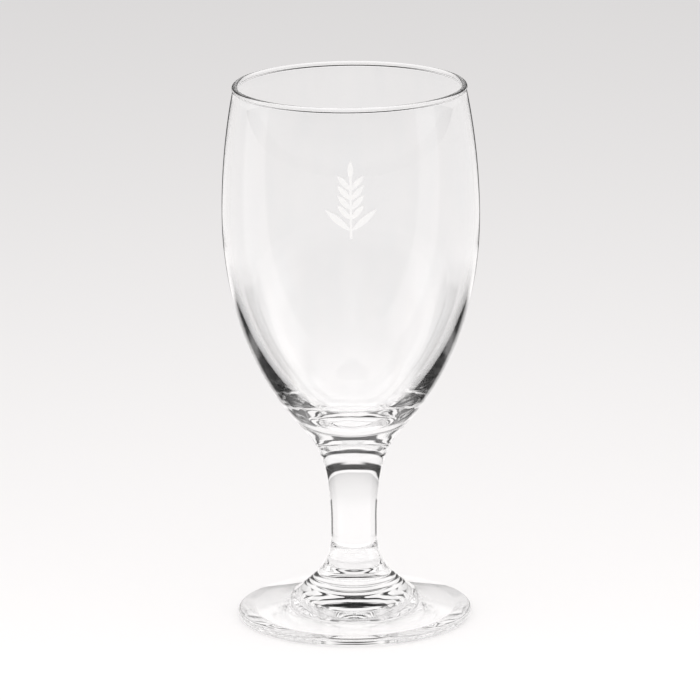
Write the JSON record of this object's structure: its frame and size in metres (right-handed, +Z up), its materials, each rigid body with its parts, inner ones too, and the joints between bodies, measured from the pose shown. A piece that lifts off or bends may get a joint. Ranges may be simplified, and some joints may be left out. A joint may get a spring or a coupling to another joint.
{
  "type": "chalice beer glass",
  "caption": "Clear glass beer chalice: tulip bowl with a beaded lip on a short waisted stem and a round flared foot, with a small white barley-ear print on the front.",
  "frame": {"origin": "centre of the foot's resting ring, on the table plane", "axes": "+Z up along the axis of the glass; -Y is the front, where the print is"},
  "size_m": [0.087, 0.0871, 0.185],
  "materials": {
    "bowl_glass": "clear, fire-polished",
    "stem_glass": "clear, fire-polished",
    "foot_glass": "clear, fire-polished",
    "white_enamel": "white fired enamel, satin"
  },
  "bodies": {
    "root": {"bowl": "bowl_glass", "stem": "stem_glass", "foot": "foot_glass", "barley_print": "white_enamel"}
  },
  "joints": []
}
